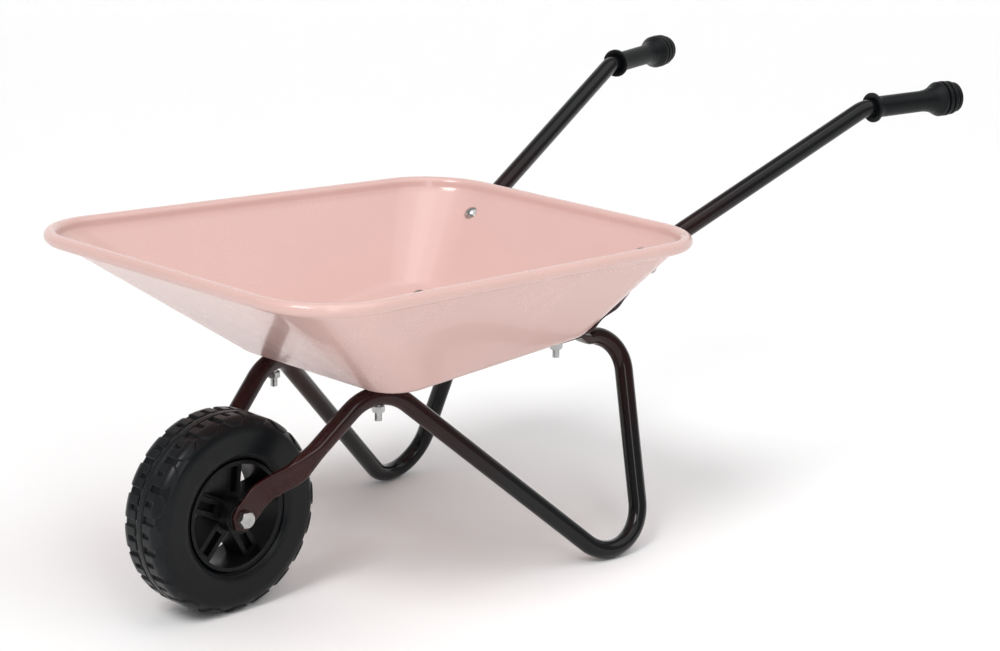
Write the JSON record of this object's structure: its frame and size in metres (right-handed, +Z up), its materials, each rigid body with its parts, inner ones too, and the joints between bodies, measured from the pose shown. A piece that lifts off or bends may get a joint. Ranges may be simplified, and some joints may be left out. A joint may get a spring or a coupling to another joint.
{
  "type": "wheelbarrow",
  "caption": "Child's wheelbarrow with a rolled-edge steel tray bolted to a bent tube frame, a wide moulded wheel that turns on its axle bolt, and splayed handles with ringed grips.",
  "frame": {"origin": "on the ground, under the middle of the barrow's overall box", "axes": "+X from the wheel to the handles, +Y to the right of the person who pushes it (the right_ nodes), +Z up"},
  "size_m": [0.8131, 0.3888, 0.3738],
  "materials": {
    "tray_paint": "gloss",
    "frame_paint": "semi-gloss",
    "grip_plastic": "satin",
    "tyre": "matt",
    "wheel_plastic": "satin",
    "bush_plastic": "matt",
    "zinc_steel": "bright zinc"
  },
  "bodies": {
    "frame": {"tray": "tray_paint", "rolled_rim": "tray_paint", "left_leg_tube": "frame_paint", "right_leg_tube": "frame_paint", "left_handle_tube": "frame_paint", "right_handle_tube": "frame_paint", "left_grip": "grip_plastic", "right_grip": "grip_plastic", "axle_sleeve": "zinc_steel", "axle_bolt": "zinc_steel", "axle_washer": "zinc_steel", "axle_nut": "zinc_steel", "front_floor_bolts": "zinc_steel", "front_floor_nuts": "zinc_steel", "rear_floor_bolts": "zinc_steel", "rear_floor_washers": "zinc_steel", "rear_floor_nuts": "zinc_steel", "rear_wall_bolts": "zinc_steel", "rear_wall_nuts": "zinc_steel"},
    "wheel": {"tyre": "tyre", "wheel_centre": "wheel_plastic", "left_hub_bush": "bush_plastic", "right_hub_bush": "bush_plastic"}
  },
  "joints": [
    {"name": "wheel_spin", "type": "hinge", "parent": "frame", "child": "wheel", "pos_m": [-0.32413, 0, 0.0825], "axis": [0, 1, 0], "continuous": true}
  ]
}
